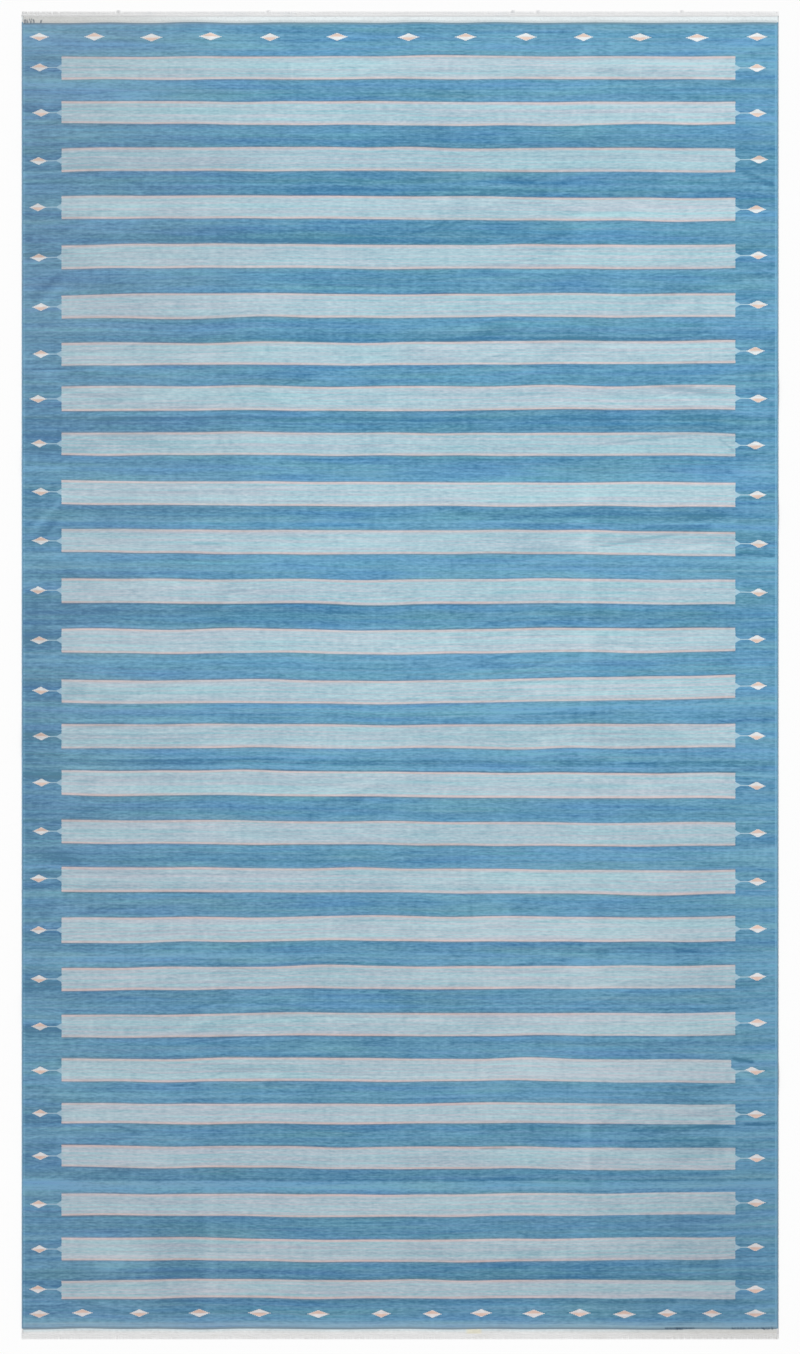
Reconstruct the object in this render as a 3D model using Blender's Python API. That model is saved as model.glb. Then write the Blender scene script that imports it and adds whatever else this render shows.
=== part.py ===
"""Flat-woven cotton dhurrie, about 12 by 21 feet, lying face up on a floor.

The rug is one woven sheet. The weft turns back round the outer warps, which makes a firm
selvage down both sides, and a plain undyed web closes each end. Past each web the warps
run on as a short fringe, gathered into small locks. The sheet keeps three soft lengthwise
ridges from having been stored folded, and low ripples where its selvages stretched.

Frame: metres, +Z up, the length along Y, the origin on the floor under the rug's middle.
"""

import math
from collections import namedtuple

import bmesh
import bpy

# Driving dimensions, in metres
RUG_WIDTH = 3.634  # selvage to selvage
RUG_LENGTH = 6.380  # over both fringes
FAR_FRINGE = 0.031  # free warp ends at +Y
NEAR_FRINGE = 0.028  # free warp ends at -Y
CLOTH_THICK = 0.0030
SELVAGE_WIDTH = 0.010
SELVAGE_THICK = 0.0042  # the doubled outer warps stand a little proud
FRINGE_THICK = 0.0025
ROOT_GAP = 0.0003  # air between the sheet and the root of each fringe

# The fringe's comb: a narrow root strip with one tooth for each lock of warps
LOCK_PITCH = 0.030
LOCK_ROOT_WIDTH = 0.024
LOCK_TIP_WIDTH = 0.021
ROOT_STRIP = 0.006
LONG_LOCK_EXTRA = 0.006  # how far a long lock reaches past its neighbours

# The sheet's grid lines
COARSE_STEP = 0.55  # widest spacing where no fold sets them
RIPPLE_INSETS = (0.15, 0.30, 0.45)  # lines that far in from each selvage
FOLD_FADE = 0.30  # the long folds die out over this length before each end

# Ridges that run the whole length, where the stored rug was folded into quarters
LongFold = namedtuple("LongFold", "x reach height")
LONG_FOLDS = (
    LongFold(x=-0.908, reach=0.080, height=0.0028),
    LongFold(x=0.000, reach=0.060, height=0.0018),
    LongFold(x=0.906, reach=0.080, height=0.0028),
)

# Ripples that are highest at a selvage and fade towards the middle
Ripple = namedtuple("Ripple", "side y run_in reach height")
RIPPLES = (
    Ripple(side=+1, y=+1.360, run_in=0.60, reach=0.13, height=0.0040),
    Ripple(side=-1, y=+1.010, run_in=0.45, reach=0.12, height=0.0032),
    Ripple(side=+1, y=+0.760, run_in=0.45, reach=0.12, height=0.0034),
    Ripple(side=-1, y=-0.330, run_in=0.55, reach=0.14, height=0.0040),
    Ripple(side=-1, y=-1.600, run_in=0.40, reach=0.12, height=0.0030),
    Ripple(side=+1, y=-1.940, run_in=0.45, reach=0.12, height=0.0036),
)

# Where along the far end a lock was left longer than the rest
LONG_LOCKS_X = (-1.345, -0.634, 0.537, 0.672, 1.344)

HALF_WIDTH = RUG_WIDTH / 2
HALF_LENGTH = RUG_LENGTH / 2
FAR_EDGE = HALF_LENGTH - FAR_FRINGE
NEAR_EDGE = -HALF_LENGTH + NEAR_FRINGE


def clear_scene():
    for obj in list(bpy.data.objects):
        bpy.data.objects.remove(obj, do_unlink=True)


def cotton(name, colour, roughness):
    """A matte yarn material."""
    material = bpy.data.materials.new(name)
    material.use_nodes = True
    shader = material.node_tree.nodes["Principled BSDF"]
    shader.inputs["Base Color"].default_value = (*colour, 1.0)
    shader.inputs["Roughness"].default_value = roughness
    shader.inputs["Metallic"].default_value = 0.0
    return material


def add_object(name, mesh_builder, material):
    """Turns a finished bmesh into a named object with its material."""
    mesh = bpy.data.meshes.new(name)
    mesh_builder.to_mesh(mesh)
    mesh_builder.free()
    obj = bpy.data.objects.new(name, mesh)
    obj.data.materials.append(material)
    bpy.context.scene.collection.objects.link(obj)
    return obj


def bump(distance, reach):
    """A smooth hump: 1 at its crest, 0 from reach onwards."""
    if abs(distance) >= reach:
        return 0.0
    return math.cos(math.pi * distance / (2 * reach)) ** 2


def end_fade(y):
    """0 at both ends of the sheet, 1 from FOLD_FADE inwards."""
    inside = min(FAR_EDGE - y, y - NEAR_EDGE)
    return 1.0 - bump(inside, FOLD_FADE)


def lift(x, y):
    """How far the sheet stands off the floor."""
    height = 0.0
    for fold in LONG_FOLDS:
        height += fold.height * bump(x - fold.x, fold.reach) * end_fade(y)
    for ripple in RIPPLES:
        from_selvage = HALF_WIDTH - ripple.side * x
        along = bump(from_selvage, ripple.run_in)
        height += ripple.height * along * bump(y - ripple.y, ripple.reach)
    return height


def across(centre, reach):
    """Grid lines for a hump's two feet, its flanks and its crest."""
    return [centre + reach * share for share in (-1.0, -0.5, 0.0, 0.5, 1.0)]


def filled(lines, step):
    """The lines in order, with even ones added wherever a gap is wider than step."""
    lines = sorted(set(lines))
    full = [lines[0]]
    for line in lines[1:]:
        start = full[-1]
        parts = math.ceil((line - start) / step)
        full += [start + (line - start) * part / parts for part in range(1, parts + 1)]
    return full


def grid_columns():
    lines = []
    for side in (-1, 1):
        lines += [side * HALF_WIDTH, side * (HALF_WIDTH - SELVAGE_WIDTH)]
        lines += [side * (HALF_WIDTH - inset) for inset in RIPPLE_INSETS]
    for fold in LONG_FOLDS:
        lines += across(fold.x, fold.reach)
    return filled(lines, COARSE_STEP)


def grid_rows():
    lines = [NEAR_EDGE, FAR_EDGE]
    for inset in (FOLD_FADE / 2, FOLD_FADE):
        lines += [NEAR_EDGE + inset, FAR_EDGE - inset]
    for ripple in RIPPLES:
        lines += across(ripple.y, ripple.reach)
    return filled(lines, COARSE_STEP)


def add_rug_cloth(material):
    """The woven sheet with its webs: an upper and a lower skin joined round the rim."""
    columns = grid_columns()
    rows = grid_rows()
    builder = bmesh.new()
    lower = []
    upper = []
    for y in rows:
        lower_row = []
        upper_row = []
        for x in columns:
            on_edge = HALF_WIDTH - abs(x) < SELVAGE_WIDTH / 2
            thick = SELVAGE_THICK if on_edge else CLOTH_THICK
            height = lift(x, y)
            lower_row.append(builder.verts.new((x, y, height)))
            upper_row.append(builder.verts.new((x, y, height + thick)))
        lower.append(lower_row)
        upper.append(upper_row)
    last_row = len(rows) - 1
    last_column = len(columns) - 1
    for j in range(last_row):
        for i in range(last_column):
            builder.faces.new(
                (upper[j][i], upper[j][i + 1], upper[j + 1][i + 1], upper[j + 1][i])
            )
            builder.faces.new(
                (lower[j][i], lower[j + 1][i], lower[j + 1][i + 1], lower[j][i + 1])
            )
    for i in range(last_column):
        builder.faces.new((lower[0][i], lower[0][i + 1], upper[0][i + 1], upper[0][i]))
        builder.faces.new(
            (
                lower[last_row][i + 1],
                lower[last_row][i],
                upper[last_row][i],
                upper[last_row][i + 1],
            )
        )
    for j in range(last_row):
        builder.faces.new((lower[j + 1][0], lower[j][0], upper[j][0], upper[j + 1][0]))
        builder.faces.new(
            (
                lower[j][last_column],
                lower[j + 1][last_column],
                upper[j + 1][last_column],
                upper[j][last_column],
            )
        )
    return add_object("rug_cloth", builder, material)


def lock_centres():
    """Even places for the locks, from one selvage to the other."""
    count = round((RUG_WIDTH - LOCK_ROOT_WIDTH) / LOCK_PITCH) + 1
    first = -HALF_WIDTH + LOCK_ROOT_WIDTH / 2
    pitch = (RUG_WIDTH - LOCK_ROOT_WIDTH) / (count - 1)
    return [first + pitch * number for number in range(count)]


def fringe_outline(length, long_places):
    """The comb's outline, its root on y = 0 and its locks towards +Y."""
    centres = lock_centres()
    long_ones = {min(centres, key=lambda x: abs(x - place)) for place in long_places}
    outline = [(-HALF_WIDTH, 0.0), (HALF_WIDTH, 0.0)]
    for x in reversed(centres):
        tip = length if x in long_ones or not long_ones else length - LONG_LOCK_EXTRA
        outline += [
            (x + LOCK_ROOT_WIDTH / 2, ROOT_STRIP),
            (x + LOCK_TIP_WIDTH / 2, tip),
            (x - LOCK_TIP_WIDTH / 2, tip),
            (x - LOCK_ROOT_WIDTH / 2, ROOT_STRIP),
        ]
    return outline


def add_fringe(name, edge_y, towards, length, long_places, material):
    """One comb of warp ends, flat on the floor past the end of the sheet."""
    builder = bmesh.new()
    outline = fringe_outline(length, long_places)
    points = [(towards * x, edge_y + towards * y) for x, y in outline]
    face = builder.faces.new([builder.verts.new((x, y, 0.0)) for x, y in points])
    raised = bmesh.ops.extrude_face_region(builder, geom=[face])
    upper = [item for item in raised["geom"] if isinstance(item, bmesh.types.BMVert)]
    bmesh.ops.translate(builder, vec=(0.0, 0.0, FRINGE_THICK), verts=upper)
    bmesh.ops.recalc_face_normals(builder, faces=builder.faces)
    return add_object(name, builder, material)


def main():
    clear_scene()
    dyed = cotton("dyed_cotton", (0.15, 0.32, 0.46), 0.92)
    undyed = cotton("undyed_cotton", (0.72, 0.72, 0.68), 0.90)
    add_rug_cloth(dyed)
    add_fringe(
        "fringe_far",
        FAR_EDGE + ROOT_GAP,
        1,
        FAR_FRINGE - ROOT_GAP,
        LONG_LOCKS_X,
        undyed,
    )
    add_fringe(
        "fringe_near",
        NEAR_EDGE - ROOT_GAP,
        -1,
        NEAR_FRINGE - ROOT_GAP,
        (),
        undyed,
    )


main()
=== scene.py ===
# %% [markdown]
# # A striped cotton dhurrie
#
# A dhurrie is a flat-woven rug: coloured cotton weft is packed so tightly over plain cotton
# warps that the warps disappear. This one has light bands on a blue field, a thin salmon line
# along each band, small lozenges round the edge, and a short fringe of warp ends.
#
# The lesson builds it in the maker's order: the lie of the cloth on the floor, the counting
# of the weave, the dyes, then the selvages and the fringe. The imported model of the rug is
# loaded first, because everything has to stay in its place.

import math
from collections import namedtuple

import bpy
import numpy as np
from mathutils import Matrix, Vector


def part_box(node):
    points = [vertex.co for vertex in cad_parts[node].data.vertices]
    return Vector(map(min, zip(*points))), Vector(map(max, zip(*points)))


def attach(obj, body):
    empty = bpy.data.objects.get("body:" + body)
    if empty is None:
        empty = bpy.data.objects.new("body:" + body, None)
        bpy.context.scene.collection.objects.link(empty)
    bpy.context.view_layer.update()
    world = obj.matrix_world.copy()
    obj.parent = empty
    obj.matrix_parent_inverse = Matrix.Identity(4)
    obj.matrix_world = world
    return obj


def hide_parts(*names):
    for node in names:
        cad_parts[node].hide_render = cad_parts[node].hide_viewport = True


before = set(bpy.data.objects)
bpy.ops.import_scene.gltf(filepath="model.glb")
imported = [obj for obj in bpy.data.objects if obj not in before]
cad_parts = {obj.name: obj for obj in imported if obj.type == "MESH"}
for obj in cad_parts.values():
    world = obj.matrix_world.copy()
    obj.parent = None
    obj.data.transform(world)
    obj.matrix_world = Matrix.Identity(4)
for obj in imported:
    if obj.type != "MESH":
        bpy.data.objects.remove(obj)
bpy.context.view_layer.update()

# %% [markdown]
# ## Sizes
#
# Lengths are in metres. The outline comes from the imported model. The rest are sizes that a
# weaver would know by heart: how thick the cloth is and how the warp ends are gathered.

# %% Sizes of the cloth
cloth_low, cloth_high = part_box("rug_cloth")
HALF_WIDTH = cloth_high.x
NEAR_EDGE = cloth_low.y
FAR_EDGE = cloth_high.y
FAR_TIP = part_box("fringe_far")[1].y
NEAR_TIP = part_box("fringe_near")[0].y
CLOTH_THICK = 0.0030
MM = 0.001
print(f"Cloth: {2 * HALF_WIDTH:.3f} by {FAR_EDGE - NEAR_EDGE:.3f} m")

# %% [markdown]
# ## Camera and light
#
# A rug is best seen from straight above. A long lens far away keeps its sides parallel, as a
# copy stand would. The light is a bright even sky with one soft sun from the near left, low
# enough that each fold gets a light side and a darker one. The Standard view keeps the dyes
# as they are, where a filmic one would wash them out.

# %% Camera straight above
VIEW_LENGTH = 6.499
VIEW_MIDDLE = -0.0106
LENS = 100.0
SENSOR = 36.0
camera_data = bpy.data.cameras.new("above")
camera_data.lens = LENS
camera_data.sensor_width = SENSOR
camera_data.clip_end = 200.0
camera = bpy.data.objects.new("above", camera_data)
camera.location = (0.0, VIEW_MIDDLE, VIEW_LENGTH * LENS / SENSOR + CLOTH_THICK)
bpy.context.scene.collection.objects.link(camera)
bpy.context.scene.camera = camera
bpy.context.scene.view_settings.view_transform = "Standard"
bpy.context.scene.view_settings.look = "None"
print(f"The camera hangs {camera.location.z:.2f} m above the floor")

# %% Even sky and one soft sun
SKY_LIGHT = 0.66
SUN_LIGHT = 0.407  # what the sun adds on a flat white card
SUN_HEIGHT = math.radians(40)
SUN_TURN = math.radians(-40)
SUN_SOFTNESS = math.radians(12)
CARD_LIGHT = SKY_LIGHT + SUN_LIGHT

world = bpy.data.worlds.new("studio")
world.use_nodes = True
sky = world.node_tree.nodes["Background"]
sky.inputs["Color"].default_value = (1.0, 1.0, 1.0, 1.0)
sky.inputs["Strength"].default_value = SKY_LIGHT
bpy.context.scene.world = world

sun_data = bpy.data.lights.new("sun", "SUN")
sun_data.energy = SUN_LIGHT * math.pi / math.sin(SUN_HEIGHT)
sun_data.angle = SUN_SOFTNESS
sun = bpy.data.objects.new("sun", sun_data)
sun.rotation_euler = (math.pi / 2 - SUN_HEIGHT, 0.0, SUN_TURN)
bpy.context.scene.collection.objects.link(sun)
print(f"A flat white card gets {CARD_LIGHT:.2f} of light")

# %% [markdown]
# ## Writing materials and rules as sums
#
# Both shaders and Geometry Nodes are trees of small boxes. A pattern such as this one needs
# a thousand of them, so one helper adds a box, and another lets two of their outputs be added,
# multiplied or compared with Python's own signs. `half - abs(off) > 0` then makes the boxes
# that say whether a point lies inside a band.


# %% A number on its way through a tree
class Measure:
    """One output of a node tree, on which sums can be written."""

    def __init__(self, bench, socket):
        self.bench = bench
        self.socket = socket

    def sum(self, operation, *others):
        return self.bench.sum(operation, self, *others)

    def __add__(self, other):
        return self.sum("ADD", other)

    def __sub__(self, other):
        return self.sum("SUBTRACT", other)

    def __rsub__(self, other):
        return self.bench.sum("SUBTRACT", other, self)

    def __mul__(self, other):
        return self.sum("MULTIPLY", other)

    def __truediv__(self, other):
        return self.sum("DIVIDE", other)

    def __abs__(self):
        return self.sum("ABSOLUTE")

    def __gt__(self, other):
        return self.sum("GREATER_THAN", other)

    def __lt__(self, other):
        return self.sum("LESS_THAN", other)

    def in_steps(self, size):
        """The same number in whole steps of that size."""
        return (self / size).sum("ROUND") * size

    def rising(self, start, end, low=0.0, high=1.0):
        """Goes softly from low at start to high at end, and so needs no clamp."""
        limits = {"From Min": start, "From Max": end, "To Min": low, "To Max": high}
        ramp = self.bench.node(
            "ShaderNodeMapRange",
            {"Value": self, **limits},
            interpolation_type="SMOOTHSTEP",
            clamp=False,  # the renderer has room for some 250 numbers, and a clamp costs one
        )
        return Measure(self.bench, ramp.outputs["Result"])

    def falling(self, start, end, high=1.0):
        """Goes softly from high at start to 0 at end."""
        return self.rising(start, end, high, 0.0)

    def times_plus(self, factor, more):
        """The number times a factor, and something more added, in one step."""
        return self.sum("MULTIPLY_ADD", factor, more)

    __radd__ = __add__
    __rmul__ = __mul__


# %% A bench to lay nodes out on
class Bench:
    """Adds nodes to a tree, in columns, and joins them up."""

    def __init__(self, tree):
        self.tree = tree

    def plug(self, socket, value):
        """Joins a value to a socket, or sets the socket's own value to it."""
        if isinstance(value, Measure):
            value = value.socket
        if isinstance(value, bpy.types.NodeSocket):
            self.tree.links.new(value, socket)
        elif hasattr(value, "__len__") and socket.type == "RGBA":
            socket.default_value = (*value[:3], 1.0)
        else:
            socket.default_value = value

    def node(self, kind, inputs=(), **settings):
        made = self.tree.nodes.new(kind)
        for name, value in settings.items():
            setattr(made, name, value)
        for name, value in dict(inputs).items():
            self.plug(made.inputs[name], value)
        number = len(self.tree.nodes)
        made.location = (200 * (number // 10), -170 * (number % 10))
        return made

    def sum(self, operation, *values):
        inputs = dict(enumerate(values))
        made = self.node("ShaderNodeMath", inputs, operation=operation)
        return Measure(self, made.outputs[0])

    def vector(self, x=0.0, y=0.0, z=0.0):
        made = self.node("ShaderNodeCombineXYZ", {"X": x, "Y": y, "Z": z})
        return made.outputs[0]


# %% [markdown]
# ## The floor
#
# A plain pale floor, much larger than the rug, with the faintest mottling so that it reads
# as a painted surface.

# %% A dye is seen in the room's light
EYE_STEP = 0.04045
EYE_POWER = 2.4


def dye(red, green, blue):
    """A yarn's own colour, from how it looks in this light, each part from 0 to 255."""
    parts = []
    for part in (red, green, blue):
        share = part / 255
        if share <= EYE_STEP:
            light = share / 12.92
        else:
            light = ((share + 0.055) / 1.055) ** EYE_POWER
        parts.append(light / CARD_LIGHT)
    return tuple(parts)


# %% Recipe for a material
COTTON_GLOSS = 0.15


class Recipe(Bench):
    """A bench for one material, which starts with a Principled shader."""

    def __init__(self, name, roughness):
        self.material = bpy.data.materials.new(name)
        self.material.use_nodes = True
        super().__init__(self.material.node_tree)
        self.shader = self.tree.nodes["Principled BSDF"]
        self.shader.location = (-400, 300)
        self.tree.nodes["Material Output"].location = (-100, 300)
        self.shader.inputs["Roughness"].default_value = roughness
        self.shader.inputs["Specular IOR Level"].default_value = COTTON_GLOSS

    def place(self):
        """Where a point is on the piece, in metres, as three measures."""
        coordinates = self.node("ShaderNodeTexCoord")
        parts = self.node("ShaderNodeSeparateXYZ", {0: coordinates.outputs["Object"]})
        return [Measure(self, parts.outputs[axis]) for axis in "XYZ"]

    def mark(self, name):
        """A number that the mesh keeps under that name."""
        made = self.node("ShaderNodeAttribute", attribute_name=name)
        return Measure(self, made.outputs["Fac"])

    def noise(self, x, y, z=0.0, detail=1.0):
        """Soft noise round 0, mostly from -0.25 to 0.25."""
        inputs = {"Vector": self.vector(x, y, z), "Scale": 1.0, "Detail": detail}
        made = self.node("ShaderNodeTexNoise", inputs)
        return Measure(self, made.outputs["Fac"]) - 0.5

    def dice(self, number, throw):
        """A random number from -0.5 to 0.5, always the same for the same whole number."""
        made = self.node(
            "ShaderNodeTexWhiteNoise", {"W": number + throw}, noise_dimensions="1D"
        )
        return Measure(self, made.outputs["Value"]) - 0.5

    def blend(self, share, first, second, blend_type="MIX"):
        """The first colour where share is 0, the second where it is 1."""
        made = self.node("ShaderNodeMix", data_type="RGBA", blend_type=blend_type)
        factor, colours = made.inputs[0], made.inputs[6:8]
        self.plug(factor, share)
        self.plug(colours[0], first)
        self.plug(colours[1], second)
        return made.outputs[2]

    def toned(self, colour, tone):
        """A colour multiplied by a brightness, or by another colour."""
        return self.blend(1.0, colour, tone, "MULTIPLY")

    def finish(self, colour, roughness, height, depth):
        """Plugs in the colour, the roughness and a relief that is depth metres deep."""
        bump = self.node("ShaderNodeBump", {"Height": height, "Distance": depth})
        self.plug(self.shader.inputs["Base Color"], colour)
        self.plug(self.shader.inputs["Roughness"], roughness)
        self.plug(self.shader.inputs["Normal"], bump.outputs[0])
        return self.material


# %% Lay the floor
FLOOR_HALF = 60.0


def painted_floor():
    recipe = Recipe("painted_floor", 0.9)
    x, y, _ = recipe.place()
    mottle = recipe.noise(x * 9.0, y * 9.0)
    pale = dye(253, 253, 253)
    colour = recipe.blend(mottle * 0.02 + 0.01, pale, dye(240, 240, 240))
    return recipe.finish(colour, mottle * 0.1 + 0.9, mottle, 0.0002)


floor_mesh = bpy.data.meshes.new("floor")
floor_corners = [(-1, -1, 0), (1, -1, 0), (1, 1, 0), (-1, 1, 0)]
floor_mesh.from_pydata(
    [tuple(FLOOR_HALF * part for part in corner) for corner in floor_corners],
    [],
    [(0, 1, 2, 3)],
)
floor = bpy.data.objects.new("floor", floor_mesh)
bpy.context.scene.collection.objects.link(floor)
floor_mesh.materials.append(painted_floor())
print("The floor is", 2 * FLOOR_HALF, "m wide")

# %% [markdown]
# ## The lie of the cloth
#
# A rug that was stored folded keeps soft lengthwise ridges, and its selvages stretch a little
# more than its middle, which lifts low ripples there. Both are sums of one smooth hump. Small
# creases are listed after them. A simulation could drop the cloth on the floor, but the folds
# would then land anywhere, and these lie where they should.

# %% Folds, ripples and creases
Fold = namedtuple("Fold", "x reach height")
Ripple = namedtuple("Ripple", "side y run_in reach height")
Crease = namedtuple("Crease", "x y length reach turn height")

LONG_FOLDS = (
    Fold(x=-0.908, reach=0.080, height=0.0028),
    Fold(x=0.000, reach=0.060, height=0.0018),
    Fold(x=0.906, reach=0.080, height=0.0028),
)
FOLD_FADE = 0.30

RIPPLES = (
    Ripple(side=+1, y=+1.360, run_in=0.60, reach=0.13, height=0.0040),
    Ripple(side=-1, y=+1.010, run_in=0.45, reach=0.12, height=0.0032),
    Ripple(side=+1, y=+0.760, run_in=0.45, reach=0.12, height=0.0034),
    Ripple(side=-1, y=-0.330, run_in=0.55, reach=0.14, height=0.0040),
    Ripple(side=-1, y=-1.600, run_in=0.40, reach=0.12, height=0.0030),
    Ripple(side=+1, y=-1.940, run_in=0.45, reach=0.12, height=0.0036),
)

CREASES = [
    Crease(*row)
    for row in (
        # x, y, length, reach, turn, height
        (+1.390, +1.355, 0.54, 0.032, -7, 0.0036),
        (+1.180, +1.122, 0.60, 0.026, +5, 0.0024),
        (+1.570, +1.100, 0.22, 0.026, -36, 0.0022),
        (+1.480, +0.750, 0.34, 0.030, +6, 0.0026),
        (+1.150, +0.640, 0.58, 0.028, +9, 0.0028),
        (+0.140, +1.138, 0.18, 0.020, -14, 0.0012),
        (+1.660, -1.975, 0.26, 0.026, -38, 0.0032),
        (+1.640, -2.160, 0.34, 0.024, -2, 0.0034),
        (+1.380, -1.340, 0.30, 0.024, -5, 0.0018),
        (-1.660, +0.880, 0.30, 0.030, +4, 0.0028),
        (-1.650, +0.640, 0.28, 0.036, +28, 0.0022),
        (-1.560, +0.300, 0.34, 0.034, -5, 0.0024),
        (-1.400, -0.262, 0.56, 0.024, +1, 0.0022),
        (-1.560, -0.420, 0.36, 0.030, -8, 0.0026),
        (-1.640, -1.600, 0.28, 0.028, +24, 0.0024),
        (-1.180, -2.180, 0.34, 0.030, +34, 0.0016),
        (-1.620, -2.860, 0.28, 0.028, -14, 0.0016),
        (-1.300, +1.560, 0.50, 0.030, +3, 0.0012),
        (-0.700, -0.760, 0.60, 0.034, -4, 0.0012),
        (+0.350, +0.420, 0.50, 0.030, +3, 0.0010),
        (+0.980, -1.120, 0.50, 0.032, -3, 0.0012),
    )
]


# %% One smooth hump
def hump(distance, reach):
    """1 at its crest, falling smoothly to 0 from reach onwards."""
    near = np.abs(distance) < reach
    return np.where(near, np.cos(np.pi * distance / (2 * reach)) ** 2, 0.0)


# %% Soft random waves
def waves(x, y, seed, shortest, longest, count=24):
    """Random waves that are about 1 high, the same each time for the same seed."""
    dice = np.random.default_rng(seed)
    total = np.zeros(np.broadcast(x, y).shape)
    for _ in range(count):
        length = dice.uniform(shortest, longest)
        turn = dice.uniform(0, 2 * math.pi)
        start = dice.uniform(0, 2 * math.pi)
        along = (x * math.cos(turn) + y * math.sin(turn)) / length
        total += np.sin(2 * math.pi * along + start)
    return total * math.sqrt(2 / count)


# %% How far the cloth stands off the floor
UNEVEN = 0.00022


def lift(x, y):
    """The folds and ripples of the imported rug."""
    inside = np.minimum(FAR_EDGE - y, y - NEAR_EDGE)
    end_fade = 1.0 - hump(inside, FOLD_FADE)
    height = np.zeros(np.broadcast(x, y).shape)
    for fold in LONG_FOLDS:
        height += fold.height * hump(x - fold.x, fold.reach) * end_fade
    for ripple in RIPPLES:
        from_selvage = HALF_WIDTH - ripple.side * x
        along = hump(from_selvage, ripple.run_in)
        height += ripple.height * along * hump(y - ripple.y, ripple.reach)
    return height


def crumple(x, y):
    """The small creases and the unevenness of a used cloth."""
    height = UNEVEN * (1.5 + np.clip(waves(x, y, 3, 0.10, 0.45), -1.5, 1.5))
    for crease in CREASES:
        turn = math.radians(crease.turn)
        away_x = x - crease.x
        away_y = y - crease.y
        along = away_x * math.cos(turn) + away_y * math.sin(turn)
        across = away_y * math.cos(turn) - away_x * math.sin(turn)
        inside = hump(along, crease.length / 2) * hump(across, crease.reach)
        height += crease.height * inside
    return height


print(f"The highest ripple stands {float(lift(HALF_WIDTH, 1.36)) / MM:.1f} mm off")

# %% [markdown]
# ## The weaver's count
#
# The bands aren't ruled lines. Several weavers sit side by side and beat the weft down, each
# a little differently, so a band can slope, bow in the middle and wander by a few
# millimetres. The table gives each band from the near end onwards: the blue gap before it,
# its depth, how much higher its right end is than its left, and how much its middle bows.
# All four are in millimetres. Each new batch of yarn also came out of the dye pot a little
# darker or lighter, so the table ends with three shades: of the gap's near half, of its far
# half, and of the band itself. Positive shades are lighter.

# %% The bands, from the near end onwards
Band = namedtuple("Band", "gap depth slant bow near_shade far_shade shade")
BANDS = [
    Band(*row)
    for row in (
        # gap, depth, slant, bow, near_shade, far_shade, shade
        (147, 89, +1, +3, -2, -4, -1),
        (100, 107, +9, -8, -11, -2, -1),
        (108, 104, +11, -7, -2, -2, 0),
        (117, 104, -12, -3, +8, -6, -1),
        (109, 97, -4, +1, -1, -7, +1),
        (104, 111, -7, +4, +3, +5, +2),
        (110, 110, +10, +1, +2, -5, -2),
        (117, 109, +12, 0, +3, -5, -1),
        (116, 119, +5, +3, +9, -9, +2),
        (117, 116, -13, 0, +2, +4, -1),
        (117, 111, -10, -3, +2, +1, -2),
        (117, 119, -14, 0, -3, -1, +2),
        (115, 114, +1, -2, -8, +5, -2),
        (113, 111, +22, -13, -1, +8, 0),
        (120, 116, +8, -6, +2, +7, +3),
        (118, 118, -3, -2, -9, -11, -2),
        (122, 113, -12, -2, +7, +6, -1),
        (121, 114, -11, -6, +3, -7, +3),
        (125, 109, -7, -1, +8, +1, -2),
        (108, 116, +3, -2, -8, -6, 0),
        (103, 109, +11, -2, +4, +1, +1),
        (114, 112, +5, +3, -4, +4, 0),
        (123, 116, 0, +3, +2, +5, 0),
        (119, 110, -13, +5, -8, +3, +2),
        (120, 112, -4, +7, -5, -2, -5),
        (119, 106, -6, -1, -5, +3, +2),
        (108, 110, 0, 0, +4, +11, +2),
    )
]
NEAR_LINE = -3.1410  # where the near web ends and the blue begins
FAR_LINE = 3.1305
BLOCK_CENTRE = -0.0075  # the bands sit a little left of the rug's middle
BAND_END = 1.617  # from there to either end of a band
WANDER = 0.0025  # one weaver's reach is about a metre and a half
JITTER = 0.0014  # and each line strays a little on its own
LAST_SHADE = 9  # of the blue between the last band and the far web

# %% The lozenges of the two end rows
# Both rows start at the left selvage. The steps between lozenges are in millimetres.
FIRST_LOZENGE = -1.731
FAR_STEPS = (264, 274, 283, 286, 322, 343, 274, 290, 276, 271, 274, 288)
NEAR_STEPS = (206, 274, 288, 288, 283, 302, 245, 235, 252, 221, 214, 206, 214, 209)


def row_places(steps):
    """Where the lozenges of a row are, in metres."""
    return FIRST_LOZENGE + MM * np.concatenate([[0], np.cumsum(steps)])


FAR_ROW = row_places(FAR_STEPS)
NEAR_ROW = row_places(NEAR_STEPS)
print(len(BANDS), "bands,", len(FAR_ROW), "and", len(NEAR_ROW), "lozenges across the ends")


# %% Places where the cloth lies pulled along its length
# The reach of each pull each way is in metres, its shift in millimetres.
Pull = namedtuple("Pull", "x y wide tall shift")
PULLS = [
    Pull(*row)
    for row in (
        # x, y, wide, tall, shift
        (-0.62, +0.15, 0.62, 0.52, +10),
        (+1.45, +0.35, 0.40, 0.35, +7),
        (-1.05, +1.66, 0.60, 0.20, -10),
        (+0.75, +1.28, 0.60, 0.22, +6),
        (+0.35, +2.30, 0.55, 0.20, +6),
        (+1.30, +2.28, 0.50, 0.50, -5),
        (+0.00, +2.64, 1.80, 0.12, -6),
        (-0.55, -2.36, 0.60, 0.30, +9),
        (+0.42, -2.78, 0.65, 0.50, -8),
        (-1.30, -2.92, 0.60, 0.22, -6),
        (+1.20, -1.02, 0.55, 0.52, -9),
    )
]


def pulled_along(x, y):
    """How far a line at this height has been pulled along the rug."""
    total = 0 * x
    for pull in PULLS:
        total += MM * pull.shift * hump(x - pull.x, pull.wide) * hump(y - pull.y, pull.tall)
    return total


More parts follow.
